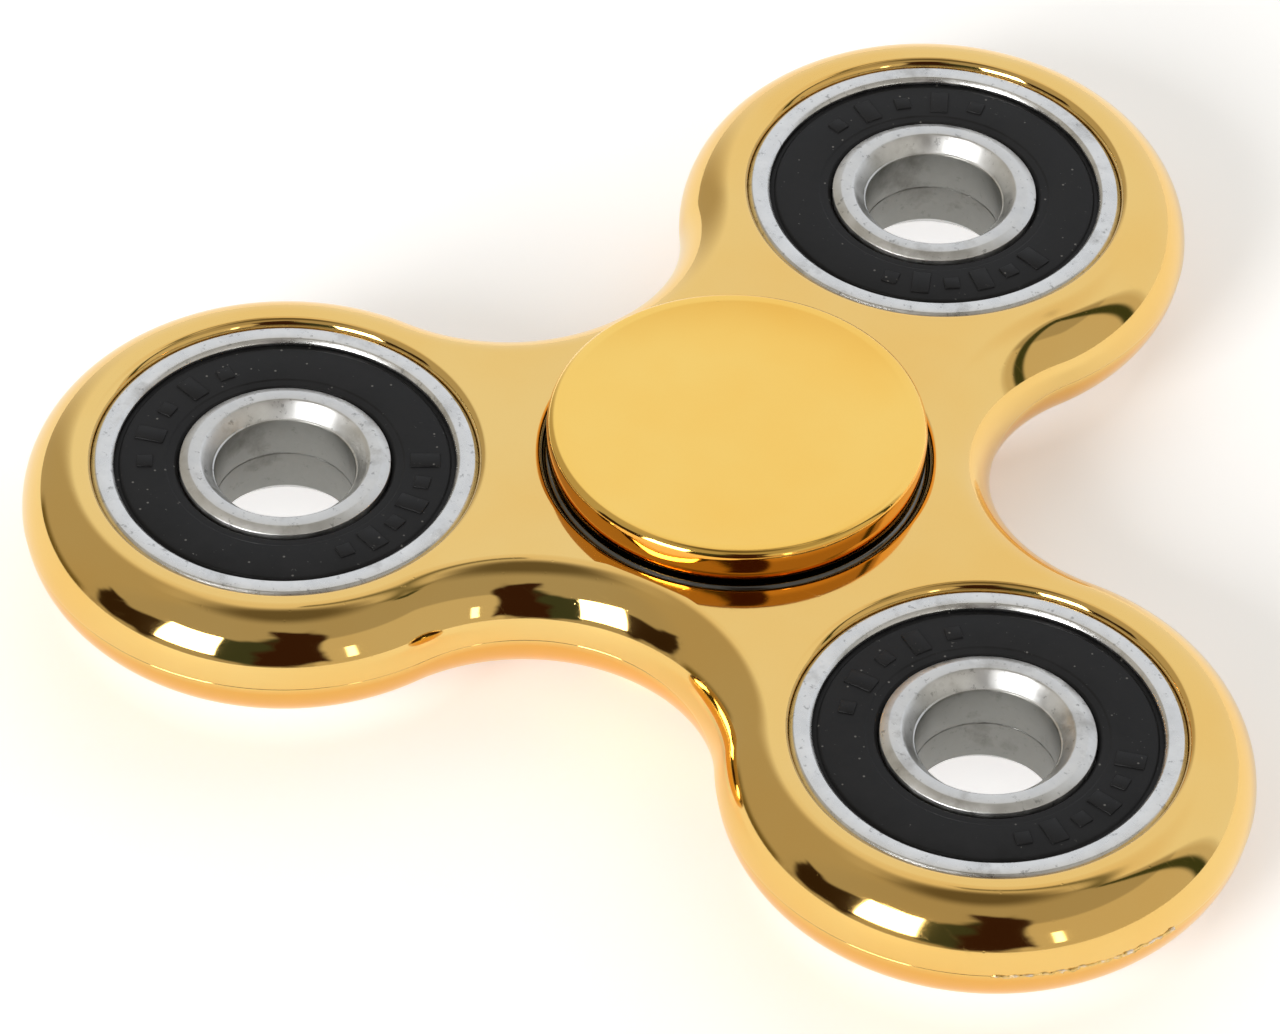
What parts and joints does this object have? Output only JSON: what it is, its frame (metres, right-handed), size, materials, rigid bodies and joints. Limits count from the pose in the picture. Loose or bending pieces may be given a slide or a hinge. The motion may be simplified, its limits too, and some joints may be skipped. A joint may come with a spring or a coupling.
{
  "type": "fidget spinner",
  "caption": "Flat lobed hand toy: a rounded body turns on a sealed ball bearing held between dished finger caps, with an open-bored bearing as a weight in each lobe.",
  "frame": {"origin": "on the spin axis at mid thickness, which is the centroid of the whole spinner", "axes": "+Z along the spin axis through the upper cap, +Y through the first lobe, +X across the widest pair of lobes"},
  "size_m": [0.0744, 0.0684, 0.012],
  "materials": {
    "gold_plated_body": "bright gold electroplate on moulded ABS",
    "gold_plated_caps": "bright gold electroplate on moulded ABS, slightly deeper in tone",
    "bearing_steel": "ground bearing steel, matt faces with fine pits and bright bevels",
    "ball_steel": "polished chrome steel",
    "cage_steel": "pressed steel strip",
    "seal_rubber": "matt black nitrile rubber",
    "insert_steel": "pressed steel washer"
  },
  "bodies": {
    "bottom_cap": {"bottom_cap": "gold_plated_caps"},
    "hub": {"centre_inner_ring": "bearing_steel"},
    "top_cap": {"top_cap": "gold_plated_caps"},
    "rotor": {"body": "gold_plated_body", "centre_outer_ring": "bearing_steel", "centre_seal_top": "seal_rubber", "centre_seal_bottom": "seal_rubber", "centre_insert_top": "insert_steel", "centre_insert_bottom": "insert_steel", "weight_1_outer_ring": "bearing_steel", "weight_1_seal_top": "seal_rubber", "weight_1_seal_bottom": "seal_rubber", "weight_1_insert_top": "insert_steel", "weight_1_insert_bottom": "insert_steel", "weight_2_outer_ring": "bearing_steel", "weight_2_seal_top": "seal_rubber", "weight_2_seal_bottom": "seal_rubber", "weight_2_insert_top": "insert_steel", "weight_2_insert_bottom": "insert_steel", "weight_3_outer_ring": "bearing_steel", "weight_3_seal_top": "seal_rubber", "weight_3_seal_bottom": "seal_rubber", "weight_3_insert_top": "insert_steel", "weight_3_insert_bottom": "insert_steel"},
    "centre_cage": {"centre_balls": "ball_steel", "centre_cage_upper": "cage_steel", "centre_cage_lower": "cage_steel", "centre_cage_rivets": "cage_steel"},
    "weight_1_ring": {"weight_1_inner_ring": "bearing_steel"},
    "weight_1_cage": {"weight_1_balls": "ball_steel", "weight_1_cage_upper": "cage_steel", "weight_1_cage_lower": "cage_steel", "weight_1_cage_rivets": "cage_steel"},
    "weight_2_ring": {"weight_2_inner_ring": "bearing_steel"},
    "weight_2_cage": {"weight_2_balls": "ball_steel", "weight_2_cage_upper": "cage_steel", "weight_2_cage_lower": "cage_steel", "weight_2_cage_rivets": "cage_steel"},
    "weight_3_ring": {"weight_3_inner_ring": "bearing_steel"},
    "weight_3_cage": {"weight_3_balls": "ball_steel", "weight_3_cage_upper": "cage_steel", "weight_3_cage_lower": "cage_steel", "weight_3_cage_rivets": "cage_steel"}
  },
  "joints": [
    {"name": "bottom_cap_pull", "type": "slide", "parent": "bottom_cap", "child": "hub", "axis": [0, 0, 1], "range_m": [0, 0.012]},
    {"name": "top_cap_pull", "type": "slide", "parent": "hub", "child": "top_cap", "axis": [0, 0, 1], "range_m": [0, 0.012]},
    {"name": "spin", "type": "hinge", "parent": "hub", "child": "rotor", "pos_m": [0, 0, 0], "axis": [0, 0, 1], "continuous": true},
    {"name": "centre_cage_orbit", "type": "hinge", "parent": "hub", "child": "centre_cage", "pos_m": [0, 0, 0], "axis": [0, 0, 1], "continuous": true},
    {"name": "weight_1_spin", "type": "hinge", "parent": "rotor", "child": "weight_1_ring", "pos_m": [0, 0.0256, 0], "axis": [0, 0, 1], "continuous": true},
    {"name": "weight_1_cage_orbit", "type": "hinge", "parent": "rotor", "child": "weight_1_cage", "pos_m": [0, 0.0256, 0], "axis": [0, 0, 1], "continuous": true},
    {"name": "weight_2_spin", "type": "hinge", "parent": "rotor", "child": "weight_2_ring", "pos_m": [-0.02217, -0.0128, 0], "axis": [0, 0, 1], "continuous": true},
    {"name": "weight_2_cage_orbit", "type": "hinge", "parent": "rotor", "child": "weight_2_cage", "pos_m": [-0.02217, -0.0128, 0], "axis": [0, 0, 1], "continuous": true},
    {"name": "weight_3_spin", "type": "hinge", "parent": "rotor", "child": "weight_3_ring", "pos_m": [0.02217, -0.0128, 0], "axis": [0, 0, 1], "continuous": true},
    {"name": "weight_3_cage_orbit", "type": "hinge", "parent": "rotor", "child": "weight_3_cage", "pos_m": [0.02217, -0.0128, 0], "axis": [0, 0, 1], "continuous": true}
  ],
  "couplings": [
    {"joint": "centre_cage_orbit", "follows": "spin", "ratio": 0.6323},
    {"joint": "weight_1_cage_orbit", "follows": "weight_1_spin", "ratio": 0.3677},
    {"joint": "weight_2_cage_orbit", "follows": "weight_2_spin", "ratio": 0.3677},
    {"joint": "weight_3_cage_orbit", "follows": "weight_3_spin", "ratio": 0.3677}
  ]
}
